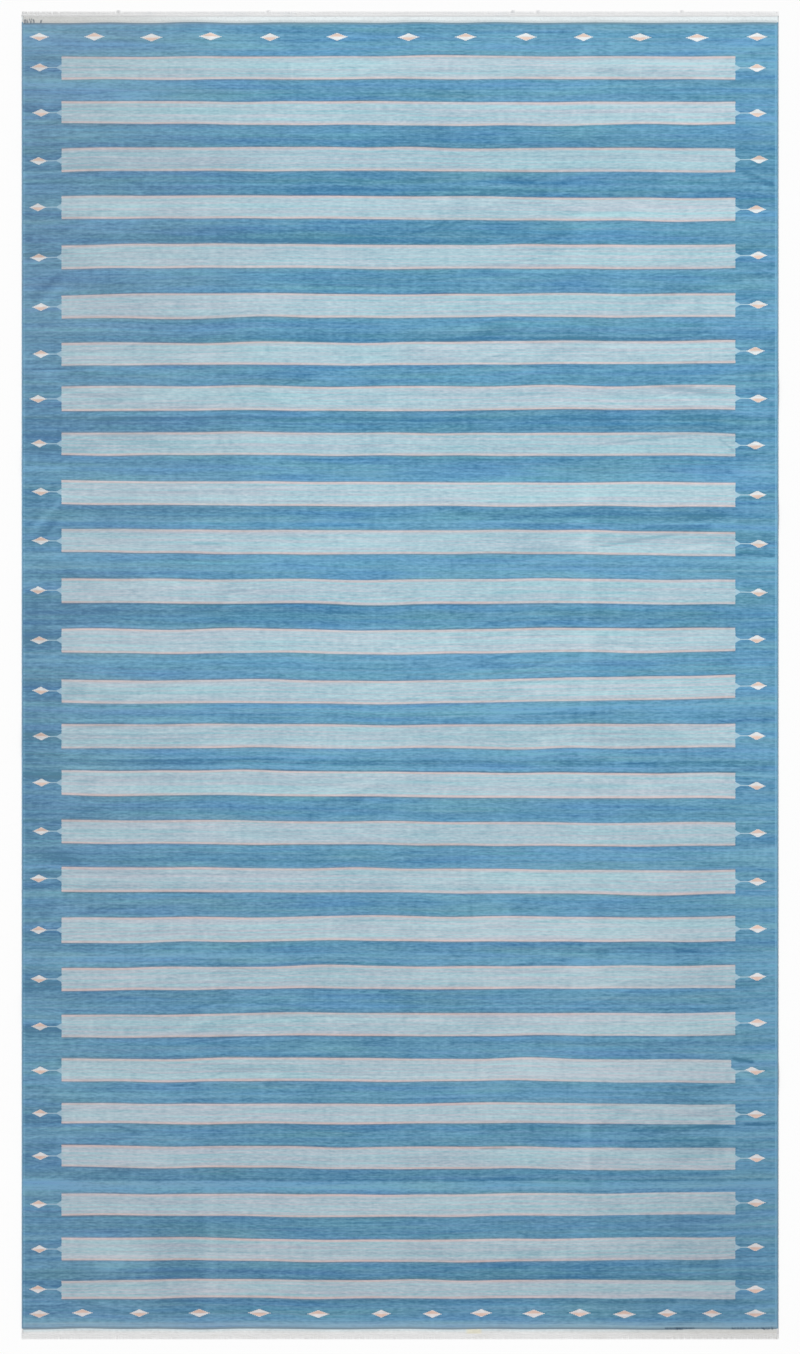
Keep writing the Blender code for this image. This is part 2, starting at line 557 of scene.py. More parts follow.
# %% Where every line runs across the rug
def lines_across(x):
    """The y of the near web's line, both edges of every band, and the far web's line."""
    share = x / BAND_END
    place = NEAR_LINE
    lines = [place + JITTER * waves(x, 0 * x + place, 11, 0.25, 0.8)]
    for band in BANDS:
        bend = MM * (band.slant * share / 2 + band.bow * (1 - share**2))
        for step in (band.gap, band.depth):
            place += MM * step
            shared = WANDER * waves(x, 0 * x + place, 12, 0.8, 2.2)
            alone = JITTER * waves(x, 0 * x + place * 9, 13, 0.3, 0.9)
            pulled = pulled_along(x, 0 * x + place)
            lines.append(place + bend + shared + alone + pulled)
    lines.append(FAR_LINE + JITTER * waves(x, 0 * x + FAR_LINE, 11, 0.25, 0.8))
    return np.array(lines)


def straight_lines():
    """The same lines as if every band had been beaten level."""
    steps = [step for band in BANDS for step in (band.gap, band.depth)]
    inner = NEAR_LINE + MM * np.cumsum(steps)
    return np.concatenate([[NEAR_LINE], inner, [FAR_LINE]])


# %% [markdown]
# ## The woven sheet
#
# The sheet is one thin slab: an upper skin fine enough for the creases, a coarser underside,
# and a narrow rim between them. Each corner of each face then keeps the weaver's measures:
#
# - `weft`: how far along the weaving had come, which follows the bowed lines
# - `off_centre`: how far the point lies from the middle of its nearest band
# - `half_depth`: half that band's depth
# - `band_no`: that band's number
# - `peach_side`: which half of its lozenge is peach, as it changes from band to band
# - `band_shade` and `gap_shade`: the shades of the band and of the blue beside it
# - `worn_blue` and `worn_light`: broad patches where the yarns are lighter or darker than the
#   rest, most of them faded by feet and sun
# - `row_away` and `row_no`: the same for the nearest lozenge of the end rows
#
# They are kept on face corners, not on points, so that neighbouring faces can belong to
# different bands without blurring each other's numbers.

# %% The sheet's grid
UPPER_COLUMNS = 150
UPPER_ROWS = 561
COARSER = 3  # the underside has one cell for this many of the upper skin, each way
CORD_COVER = 0.003  # the selvage cord hides this much of the sheet's side
WEB_THINNER = 0.0012  # the plain web is thinner at its open end
THIN_REACH = 0.030
SHARP_ANGLE = math.radians(50)

columns = np.linspace(-HALF_WIDTH + CORD_COVER, HALF_WIDTH - CORD_COVER, UPPER_COLUMNS + 1)
rows = np.linspace(NEAR_EDGE, FAR_EDGE, UPPER_ROWS + 1)
print(f"Cells of {(columns[1] - columns[0]) / MM:.0f} by {(rows[1] - rows[0]) / MM:.0f} mm")


# %% Build the slab
def slab():
    """The sheet's mesh, with the column and row of each of its points."""
    across, along = np.meshgrid(columns, rows)
    ground = lift(across, along)
    from_end = np.minimum(FAR_EDGE - along, along - NEAR_EDGE)
    thick = CLOTH_THICK - WEB_THINNER * hump(from_end, THIN_REACH)
    top = ground + thick + crumple(across, along)
    upper = np.arange(across.size).reshape(across.shape)
    coarse = (slice(None, None, COARSER), slice(None, None, COARSER))
    lower_shape = across[coarse].shape
    lower = across.size + np.arange(lower_shape[0] * lower_shape[1]).reshape(lower_shape)
    points = np.concatenate(
        [
            np.stack([across, along, top], 2).reshape(-1, 3),
            np.stack([across[coarse], along[coarse], ground[coarse]], 2).reshape(-1, 3),
        ]
    )
    faces = np.stack(
        [upper[:-1, :-1], upper[:-1, 1:], upper[1:, 1:], upper[1:, :-1]], 2
    ).reshape(-1, 4)
    under = np.stack(
        [lower[:-1, :-1], lower[1:, :-1], lower[1:, 1:], lower[:-1, 1:]], 2
    ).reshape(-1, 4)
    faces = faces.tolist() + under.tolist()
    rim_start = len(faces)
    near, far = (lower[0], upper[0]), (lower[-1][::-1], upper[-1][::-1])
    left, right = (lower[::-1, 0], upper[::-1, 0]), (lower[:, -1], upper[:, -1])
    for below, above in (near, right, far, left):
        for number in range(len(below) - 1):
            first = number * COARSER
            over = above[first : first + COARSER + 1][::-1]
            faces.append([int(below[number]), int(below[number + 1]), *map(int, over)])
    mesh = bpy.data.meshes.new("woven_sheet")
    mesh.from_pydata(points.tolist(), [], faces)
    smooth = np.arange(len(faces)) < rim_start
    mesh.polygons.foreach_set("use_smooth", smooth)
    mesh.update()
    mesh.set_sharp_from_angle(angle=SHARP_ANGLE)
    return mesh


sheet_mesh = slab()
sheet = bpy.data.objects.new("woven_sheet", sheet_mesh)
bpy.context.scene.collection.objects.link(sheet)
print("The sheet has", len(sheet_mesh.polygons), "faces")


# %% Which half of a side lozenge is peach
RIGHT_PEACH_ABOVE = (7, 9, 10, 11, 14, 21, 24, 25, 27)


def peach_side(band_no, on_right):
    """1 where the upper half is peach, -1 where the lower half is."""
    left = np.where(band_no % 2 == 1, 1.0, -1.0)
    right = np.where(np.isin(band_no, RIGHT_PEACH_ABOVE), 1.0, -1.0)
    return np.where(on_right, right, left)


# %% Write the weaver's measures on it
def corner_places(mesh):
    """The x and y of every face corner, and of the middle of the face it belongs to."""
    points = np.empty(len(mesh.vertices) * 3)
    mesh.vertices.foreach_get("co", points)
    points = points.reshape(-1, 3)[:, :2]
    used = np.empty(len(mesh.loops), int)
    mesh.loops.foreach_get("vertex_index", used)
    sides = np.empty(len(mesh.polygons), int)
    mesh.polygons.foreach_get("loop_total", sides)
    face = np.repeat(np.arange(len(sides)), sides)
    corner = points[used]
    middle = np.stack(
        [np.bincount(face, corner[:, axis]) / sides for axis in range(2)], 1
    )
    return corner, middle[face]


Patch = namedtuple("Patch", "x y wide tall blue light")
PATCHES = [
    Patch(*row)
    for row in (
        # x, y, wide, tall, blue, light
        (+0.85, -1.40, 1.00, 1.20, +0.17, +0.20),
        (+0.55, +0.20, 0.90, 0.90, +0.10, +0.04),
        (+0.20, -0.25, 1.50, 1.40, +0.10, +0.00),
        (+1.82, -2.85, 0.50, 0.90, +0.17, +0.00),
        (-0.25, +2.30, 1.50, 1.30, -0.17, +0.00),
        (+1.45, +2.60, 0.80, 1.10, +0.04, +0.22),
        # A darker strip along the left selvage, and a lighter one along the right.
        (-1.82, +0.00, 0.40, 2.40, -0.20, +0.00),
        (+1.82, -1.70, 0.40, 2.20, +0.20, +0.00),
    )
]


def worn_by(x, y, kind):
    """How much lighter or darker than the rest the cloth is, on blue or on light yarn."""
    total = np.zeros(len(x))
    for patch in PATCHES:
        away = np.hypot((x - patch.x) / patch.wide, (y - patch.y) / patch.tall)
        total += getattr(patch, kind) * hump(away, 1.0)
    return total


SHADE_CHANGE = 0.03  # the blue's shade changes over this depth
FAR_NUMBERS = 41  # the far row's lozenges are numbered from here


def gap_shades(off_centre, band):
    """The shade of the blue beside a band: its near side's, or its far side's."""
    below = np.array([row.far_shade for row in BANDS])
    above = np.array([row.near_shade for row in BANDS[1:]] + [LAST_SHADE])
    share = np.clip(off_centre / SHADE_CHANGE + 0.5, 0.0, 1.0)
    return below[band] * (1.0 - share) + above[band] * share


def weave_marks(mesh):
    """Stores every measure as an attribute on the face corners."""
    corner, middle = corner_places(mesh)
    lines = lines_across(columns)
    low, high = lines[1:-1:2], lines[2:-1:2]
    spacing = columns[1] - columns[0]
    column = np.rint((corner[:, 0] - columns[0]) / spacing).astype(int)
    face_column = ((middle[:, 0] - columns[0]) / spacing).astype(int)
    face_column = face_column.clip(0, len(columns) - 1)
    centres = (low + high) / 2
    band = np.abs(centres[:, face_column] - middle[:, 1]).argmin(0)

    beyond = 0.2
    straight = straight_lines()
    straight = np.concatenate([[straight[0] - beyond], straight, [straight[-1] + beyond]])
    lines = np.concatenate([lines[:1] - beyond, lines, lines[-1:] + beyond])
    weft = np.empty(len(band))
    for number in range(len(columns)):
        here = column == number
        weft[here] = np.interp(corner[here, 1], lines[:, number], straight)

    far_no = np.abs(middle[:, :1] - FAR_ROW[None]).argmin(1)
    near_no = np.abs(middle[:, :1] - NEAR_ROW[None]).argmin(1)
    is_far = middle[:, 1] > 0
    lozenge_x = np.where(is_far, FAR_ROW[far_no], NEAR_ROW[near_no])
    marks = {
        "weft": weft,
        "off_centre": corner[:, 1] - centres[band, column],
        "half_depth": ((high - low) / 2)[band, column],
        "band_no": band + 1.0,
        "peach_side": peach_side(band + 1, middle[:, 0] > 0),
        "band_shade": np.array([row.shade for row in BANDS])[band],
        "gap_shade": gap_shades(corner[:, 1] - centres[band, column], band),
        "worn_blue": worn_by(corner[:, 0], corner[:, 1], "blue"),
        "worn_light": worn_by(corner[:, 0], corner[:, 1], "light"),
        "row_away": corner[:, 0] - lozenge_x,
        "row_no": np.where(is_far, far_no + FAR_NUMBERS, near_no + 1),
    }
    for name, values in marks.items():
        attribute = mesh.attributes.new(name, "FLOAT", "CORNER")
        attribute.data.foreach_set("value", values.astype(np.float32))
    spread = mesh.uv_layers.new(name="OFBake")
    flat = np.stack(
        [
            corner[:, 0] / (2 * HALF_WIDTH) + 0.5,
            (corner[:, 1] - NEAR_EDGE) / (FAR_EDGE - NEAR_EDGE),
        ],
        1,
    )
    spread.data.foreach_set("uv", flat.astype(np.float32).reshape(-1))


weave_marks(sheet_mesh)
print("Kept on each corner:", ", ".join(a.name for a in sheet_mesh.attributes))

# %% [markdown]
# ## The dyes
#
# The colours are written as they look on the rug, and `dye` takes the room's light off them.
# The weaver had six yarns. Years of use then laid a grey dust on one side and bleached
# another, and the cloth is darker towards the near right corner and the near end.

# %% Yarns, dust and a darker near end
DEEP_BLUE = dye(61, 120, 163)
DEEP_GREEN = dye(74, 132, 157)
WORN_BLUE = dye(114, 171, 212)
WORN_GREEN = dye(126, 183, 206)
DEEP_LIGHT = dye(151, 184, 199)
WORN_LIGHT = dye(195, 219, 228)
ROSY_LOT = (1.12, 0.955, 0.970)
GREENISH_LOT = (0.88, 1.045, 1.030)
SALMON = dye(208, 196, 197)
ROSE = dye(128, 130, 134)
IVORY = dye(228, 234, 236)
PEACH = dye(226, 203, 190)
PALE = dye(172, 206, 222)
DUSTY_BLUE = dye(168, 198, 214)  # the last wefts before the near web
DUST = dye(130, 110, 112)
NEAR_RIGHT_DARK = dye(70, 95, 115)
NEAR_TINT = (0.89, 0.82, 0.815)
DUST_SHARE = 0.21
NEAR_RIGHT_DARK_SHARE = 0.12


def dusted_and_darkened(recipe, colour, x, y):
    """Lays a grey dust over a colour and darkens it towards the near right corner and the near
    end, the same on every piece.
    """
    cloud = recipe.noise(x * 0.9, y * 0.9, 4.0)
    left = (x * -1.0).rising(0.2, 1.75) * (y.rising(-1.5, 3.0) * 0.57 + 0.43)
    colour = recipe.blend(left * (cloud + 1.0) * DUST_SHARE, colour, DUST)
    corner = x.rising(0.6, 1.6) * (y * -1.0).rising(0.6, 2.5)
    colour = recipe.blend(corner * (cloud + 1.0) * NEAR_RIGHT_DARK_SHARE, colour, NEAR_RIGHT_DARK)
    near = (y * -1.0).rising(-0.9, 2.0) * 0.7 + (y * -1.0).rising(2.0, 3.1) * 0.3
    near = near * (x.rising(-1.7, -0.3) * 0.2 + 0.8)
    return recipe.blend(near, colour, NEAR_TINT, "MULTIPLY")


# %% [markdown]
# ## The weave as a recipe
#
# The pattern is a set of questions about a point: is it inside a band, in a lozenge, in the
# web? Each answer is 0 or 1, made from the weaver's measures, and each picks a yarn. Slanted
# edges go up in steps of one weft, as they must in a weave.

# %% Where each yarn shows
PICK = 0.0033
LINE_WIDTH = 0.0086
ROSE_WIDTH = 0.0055
INNER_WIDTH = 0.0050
SHOULDER_HALF = 0.0165
SHOULDER_RUN = 0.025
THREAD_HALF = 0.0023
LOZENGE_AT = 1.722
PULLED_BAND = 6  # its far right corner has been pulled in
ROW_LINE = 3.0635
ROW_SHIFT = 0.0025
WEB_MIDDLE = (FAR_LINE + NEAR_LINE) / 2
WEB_HALF = (FAR_LINE - NEAR_LINE) / 2

Figures = namedtuple(
    "Figures", "band line inner rose pale ivory peach rim past_line beside slit"
)


def lozenge(across, up, half_long, half_tall, peach_side):
    """How far a point is inside a lozenge with drawn-out tips, inside its peach half, and in
    the thin ring round it where painted shade goes.
    """
    along = (abs(across) / half_long).sum("MAXIMUM", 0.12)
    whole = along.sum("POWER", 0.84) + abs(up) / half_tall
    half = (up * peach_side).rising(-0.004, 0.004) * along.falling(0.45, 0.95)
    return whole < 1.0, (whole < 0.93) * half, (whole > 1.0) * (whole < 1.16)


def woven_figures(recipe, x, weft, off, half, band, side_key):
    """Every figure of the pattern, as 0 or 1."""
    pick = (weft / PICK).sum("ROUND")
    jag = recipe.dice(pick, 0.5) * 0.0022
    pulled = (abs(band - PULLED_BAND) < 0.5) * (x > 0.0) * (off > 0.006)
    past_end = abs(x - BLOCK_CENTRE) - BAND_END + jag + pulled * 0.020
    inside = half - abs(off)
    on_rows = inside > 0.0
    band_figure = on_rows * (past_end < 0.0)
    line = band_figure * (inside < LINE_WIDTH)
    rose = (inside < 0.0) * (inside > -ROSE_WIDTH) * (past_end < 0.0)

    shift_x = recipe.dice(side_key, 0.11) * 0.018
    shift_y = recipe.dice(side_key, 0.23) * 0.007
    up = off - shift_y
    step_up = up.in_steps(PICK)
    run = 1.0 - past_end / SHOULDER_RUN
    taper = run.sum("POWER", 1.2) * (SHOULDER_HALF - THREAD_HALF) + THREAD_HALF
    outside = past_end > 0.0
    shoulder = outside * (past_end < SHOULDER_RUN) * (abs(step_up) < taper)
    to_lozenge = LOZENGE_AT - BAND_END + shift_x - past_end
    thread = outside * (to_lozenge > 0.0) * (abs(up) < THREAD_HALF)

    peach_side = recipe.mark("peach_side")
    fuller = (x > 0.0) * 0.003 + recipe.dice(side_key, 0.83) * 0.006 + 0.041
    taller = (x > 0.0) * 0.0020 + 0.0200
    side_whole, side_peach, side_rim_shade = lozenge(to_lozenge, step_up, fuller, taller, peach_side)

    row_no = recipe.mark("row_no").sum("ROUND")
    row_up = abs(weft + ROW_SHIFT) - ROW_LINE
    row_up = (row_up + recipe.dice(row_no, 0.41) * 0.006).in_steps(PICK)
    row_side = 1.0 - row_no.sum("MODULO", 2.0) * 2.0
    row_up = row_up * weft.sum("SIGN")
    row_long = recipe.dice(row_no, 0.47) * 0.010 + 0.050
    row_away = recipe.mark("row_away")
    row_whole, row_peach, row_rim_shade = lozenge(row_away, row_up, row_long, 0.0200, row_side)

    return Figures(
        band=band_figure,
        line=line,
        inner=band_figure * (inside > LINE_WIDTH) * (inside < LINE_WIDTH + INNER_WIDTH),
        rose=rose,
        pale=shoulder.sum("MAXIMUM", thread),
        ivory=side_whole.sum("MAXIMUM", row_whole),
        peach=side_peach.sum("MAXIMUM", row_peach),
        # the thin ring round each lozenge, which gets painted shade
        rim=side_rim_shade.sum("MAXIMUM", row_rim_shade),
        past_line=abs(weft - WEB_MIDDLE) - WEB_HALF,
        beside=on_rows * outside,
        # where painted shade falls in the slit beside each band end
        slit=on_rows * outside * past_end.falling(0.003, 0.012),
    )


# %% Light and dark streaks along single wefts
# Each row says how far along the weave a streak is, how thick it is, and how much lighter
# or darker. Streaks with the same reach across the rug, from x to x, stand together. Most are
# wefts that took the dye badly; the short groups at the margins are light and dark streaks
# along the selvages.
STREAKS = {
    (-1.80, +1.80): (
        (+3.105, 0.012, -0.03),
        (+3.083, 0.012, -0.15),
        (+3.018, 0.026, +0.18),
        (+2.362, 0.010, -0.17),
        (+2.132, 0.009, -0.17),
        (+1.231, 0.013, -0.32),
        (+0.234, 0.006, +0.16),
        (-2.451, 0.020, +0.30),
        (-3.005, 0.012, -0.12),
        (-3.113, 0.026, +0.30),
    ),
    (+1.63, +1.80): ((+2.672, 0.022, +0.50),),
    (-1.63, +1.63): (
        (+2.320, 0.007, -0.20),
        (+1.415, 0.006, -0.16),
        (+1.178, 0.006, -0.18),
        (+0.784, 0.014, -0.20),
        (+0.335, 0.005, -0.24),
        (-1.607, 0.008, -0.18),
    ),
    (-1.63, +1.80): ((+2.079, 0.010, -0.25),),
    (-1.80, +1.30): ((+1.609, 0.007, -0.28),),
    (-1.80, -1.61): (
        (+1.454, 0.020, +0.32),
        (+0.985, 0.018, +0.36),
        (+0.560, 0.018, +0.36),
        (-0.252, 0.020, +0.32),
        (-0.938, 0.018, +0.34),
        (-1.645, 0.032, +0.36),
    ),
    (+1.61, +1.80): (
        (+1.270, 0.016, +0.40),
        (+0.978, 0.026, +0.38),
        (+0.594, 0.020, -0.35),
        (-0.468, 0.014, +0.50),
        (-2.138, 0.018, +0.32),
        (-2.885, 0.030, -0.36),
    ),
    (-1.63, +1.10): ((+1.036, 0.006, -0.20),),
    (+1.50, +1.80): ((+0.714, 0.020, +0.42),),
    (-1.80, -1.62): ((-0.390, 0.014, -0.42),),
    (-1.60, +1.10): ((-0.372, 0.007, +0.12),),
    (-1.60, +0.96): ((-0.413, 0.007, -0.26),),
    (+1.08, +1.80): ((-0.418, 0.007, -0.26),),
    (-1.60, +1.63): ((-0.450, 0.013, +0.26),),
    (-1.63, -0.89): ((-1.050, 0.006, -0.22),),
    (-1.30, +1.80): ((-1.388, 0.006, -0.24),),
    (-1.60, +1.80): ((-2.422, 0.009, -0.26),),
    (-1.80, -1.60): ((-2.430, 0.016, +0.24),),
    (-1.80, -0.40): ((-2.867, 0.007, -0.20),),
}
STREAK_FADE = 0.03


def streaked(x, weft):
    """What all the streaks add to the wear at a point."""
    total = 0.0
    for (start, end), streaks in STREAKS.items():
        across = x.rising(start - STREAK_FADE, start + STREAK_FADE)
        across = across * x.falling(end - STREAK_FADE, end + STREAK_FADE)
        tones = [abs(weft - at).falling(thick / 2, thick, tone) for at, thick, tone in streaks]
        total = across.times_plus(sum(tones), total)
    return total


# %% Uneven dyeing, in layers from the finest to the broadest
Layer = namedtuple("Layer", "per_x per_weft seed share")
LAYERS = (
    Layer(per_x=34.0, per_weft=125.0, seed=1.0, share=1.25),  # dashes along one weft
    Layer(per_x=11.0, per_weft=90.0, seed=13.0, share=0.55),  # longer runs
    Layer(per_x=2.5, per_weft=100.0, seed=2.0, share=0.55),
    Layer(per_x=0.2, per_weft=62.0, seed=3.0, share=0.65),  # wefts from side to side
    Layer(per_x=0.15, per_weft=22.0, seed=14.0, share=0.50),  # batches of yarn
    Layer(per_x=13.0, per_weft=17.0, seed=15.0, share=0.35),  # blots
    Layer(per_x=4.0, per_weft=8.0, seed=16.0, share=0.45),
    Layer(per_x=1.1, per_weft=5.0, seed=6.0, share=0.40),  # slow changes
    Layer(per_x=95.0, per_weft=2.0, seed=5.0, share=0.20),  # single warps
)
FLECK_ABOVE = 0.25
GAP_STEP = 0.0125  # one shade of the band table, on blue yarn
BAND_STEP = 0.025  # and on light yarn


def wear_and_slit_shade(recipe, x, weft, side_key, figures):
    """How worn and light the yarn is at a point, round 0.5, with painted shade in the slits
    beside the band ends and round the lozenges.
    """
    fleck = recipe.noise(x * 55.0, weft * 200.0, 7.0, detail=0.0) > FLECK_ABOVE
    wear_and_slit_shade = fleck * 0.16
    for layer in LAYERS:
        tint = recipe.noise(x * layer.per_x, weft * layer.per_weft, layer.seed)
        wear_and_slit_shade = wear_and_slit_shade + tint * layer.share
    wear_and_slit_shade = wear_and_slit_shade + recipe.mark("gap_shade") * (1.0 - figures.band) * GAP_STEP
    wear_and_slit_shade = wear_and_slit_shade + recipe.mark("band_shade") * figures.band * BAND_STEP
    beside = recipe.dice(side_key, 0.71) * 0.20 + (x < 0.0) * 0.07 + 0.06
    wear_and_slit_shade = wear_and_slit_shade + 0.5 - figures.beside * beside
    # Painted shade in the slits beside the band ends, and in a thin ring round each lozenge.
    wear_and_slit_shade = wear_and_slit_shade - figures.slit * 0.07 - figures.rim * 0.22
    wear_and_slit_shade = wear_and_slit_shade + recipe.mark("worn_blue") * (1.0 - figures.band)
    wear_and_slit_shade = wear_and_slit_shade + recipe.mark("worn_light") * figures.band
    return wear_and_slit_shade + streaked(x, weft)


# %% Soft smudges, painted shading beside creases, lighter fold crests and painted wrinkle shading
SmudgeAndShade = namedtuple("SmudgeAndShade", "x y length reach turn tone")
# Some rows are smudges of dirt. The others are painted shade and painted light beside the
# creases and ripples, often a dark line next to a lighter one.
SMUDGES_AND_SHADING = [
    SmudgeAndShade(*row)
    for row in (
        # x, y, length, reach, turn, tone
        (+1.645, -1.850, 0.130, 0.016, -8, -0.88),
        (+1.690, -1.960, 0.180, 0.030, -38, +0.35),
        (+1.500, -2.168, 0.260, 0.010, -1, -0.72),
        (+1.740, -2.155, 0.200, 0.018, +2, -0.64),
        (+0.445, -2.274, 0.150, 0.007, 0, -1.40),
        (+1.380, +1.368, 0.440, 0.022, -8, -0.48),
        (+1.330, +1.325, 0.360, 0.018, -8, +0.26),
        (+1.160, +1.128, 0.480, 0.010, +6, -0.42),
        (+1.565, +1.105, 0.120, 0.012, -40, -0.42),
        (+1.470, +0.755, 0.260, 0.030, +5, -0.32),
        (+1.150, +0.648, 0.520, 0.014, +9, -0.54),
        (+1.350, +0.600, 0.440, 0.014, +9, +0.29),
        (+1.380, -1.325, 0.160, 0.012, -4, -0.48),
        (-1.260, -0.246, 0.760, 0.010, 0, -0.48),
        (-1.560, -0.075, 0.130, 0.050, 0, -0.35),
        (-1.290, +1.130, 0.360, 0.040, -4, -0.32),
        (-1.500, +1.340, 0.240, 0.030, +3, -0.22),
        (-1.060, -2.760, 0.340, 0.420, 6, -0.26),
        (-1.400, -2.830, 0.180, 0.080, 4, +0.24),
        (-0.930, +0.628, 0.150, 0.008, 0, -0.48),
        (-1.690, +1.870, 0.260, 0.030, +40, -0.30),
        (-1.700, +1.800, 0.260, 0.026, +40, +0.28),
        (-1.700, +0.760, 0.280, 0.028, +48, +0.34),
        (-1.700, +0.690, 0.240, 0.024, +48, -0.30),
        (+1.720, +2.380, 0.240, 0.024, -24, -0.40),
        (+1.250, +0.720, 0.700, 0.012, +3, +0.20),
        (+0.980, -2.075, 0.200, 0.010, +4, -0.30),
        (-0.700, -1.420, 0.420, 0.012, -10, -0.22),
        (-0.080, -1.520, 0.060, 0.006, 0, -0.64),
        (-0.180, -1.522, 0.040, 0.006, 0, -0.64),
    )
]


def smudges_and_painted_shading(x, y):
    """What all the smudges, and the painted shade and painted light beside the creases, add to
    the wear at a point.
    """
    total = 0.0
    for spot in SMUDGES_AND_SHADING:
        turn = math.radians(spot.turn)
        cosine, sine = math.cos(turn), math.sin(turn)
        along = x.times_plus(cosine, y.times_plus(sine, -spot.x * cosine - spot.y * sine))
        across = y.times_plus(cosine, x.times_plus(-sine, spot.x * sine - spot.y * cosine))
        inside = abs(along).falling(0.25 * spot.length, 0.5 * spot.length, spot.tone)
        total = inside.times_plus(abs(across).falling(0.0, spot.reach), total)
    return total


def lighter_fold_crests(recipe, x, y):
    """The crests of the long folds, drawn a little lighter."""
    outer = abs(abs(x + 0.005) - 0.900).falling(0.0, 0.045)
    crest = outer + abs(x).falling(0.0, 0.030) * 0.6
    along = recipe.noise(x * 0.5, y * 1.4, 21.0).rising(-0.12, 0.18)
    return crest * along * 0.14


def painted_wrinkle_shading(recipe, x, y):
    """Painted shading of faint slanting wrinkles: painted light on one side of a line and
    painted shade on the other.
    """
    slope = recipe.noise(x * 1.3 + y * 0.9, y * 8.0 - x * 0.7, 19.0, detail=2.0)
    beside_line = slope * abs(slope).falling(0.0, 0.07)
    where = recipe.noise(x * 0.9, y * 1.7, 20.0).rising(-0.08, 0.12)
    return beside_line * where * 9.0


# %% The relief of the weave
RIB = 0.0032  # from one warp to the next
RELIEF = 0.00035


def weave_relief(x, weft):
    """The ribs over the warps, with the wefts crossing them by turns."""
    rib = (x * (2 * math.pi / RIB)).sum("SINE")
    pick = (weft * (2 * math.pi / (PICK / 2))).sum("SINE")
    return rib * 0.3 + rib * pick * 0.2 + 0.5


# %% The undyed web past the blue
WEB_INNER = dye(204, 216, 220)
WEB_FAR = dye(233, 241, 243)
WEB_NEAR = dye(220, 221, 221)
# The colour of the painted shade along the edge where the blue wefts end.
BLUE_END_SHADE = dye(124, 146, 155)
WEB_STAIN = dye(196, 194, 190)
WEB_YELLOW = dye(222, 216, 190)


def web_cloth(recipe, x, y, past_line):
    """Cream cotton, greyer next to the dyed wefts and towards one end of each web."""
    cloud = recipe.noise(x * 9.0, y * 30.0, 9.0)
    fine = recipe.noise(x * 60.0, y * 110.0, 10.0)
    colour = recipe.blend(y > 0.0, WEB_NEAR, WEB_FAR)
    colour = recipe.blend(past_line.falling(0.004, 0.016), colour, WEB_INNER)
    worn_and_shaded = (y < 0.0) * x.rising(0.7, 1.7) + (y > 0.0) * (x * -1.0).rising(0.6, 1.7)
    colour = recipe.blend(worn_and_shaded * 0.75, colour, WEB_STAIN)
    spot = abs(x - 0.355).falling(0.025, 0.045)
    colour = recipe.blend(spot * (y < 0.0) * 0.7, colour, WEB_YELLOW)
    hole = (y > 0.0) * (fine + cloud * 0.6 > 0.17)
    tone = cloud * 0.25 + fine * 0.30 + 1.0 - hole * 0.16
    return recipe.toned(colour, tone)


# %% Mix the sheet's material
# Painted highlight: a lighter line along the last plain warps beside each cord, drawn where
# they would catch the light.
SIDE_HIGHLIGHT_INSET = 0.0135  # the last plain warps beside the cord catch the light


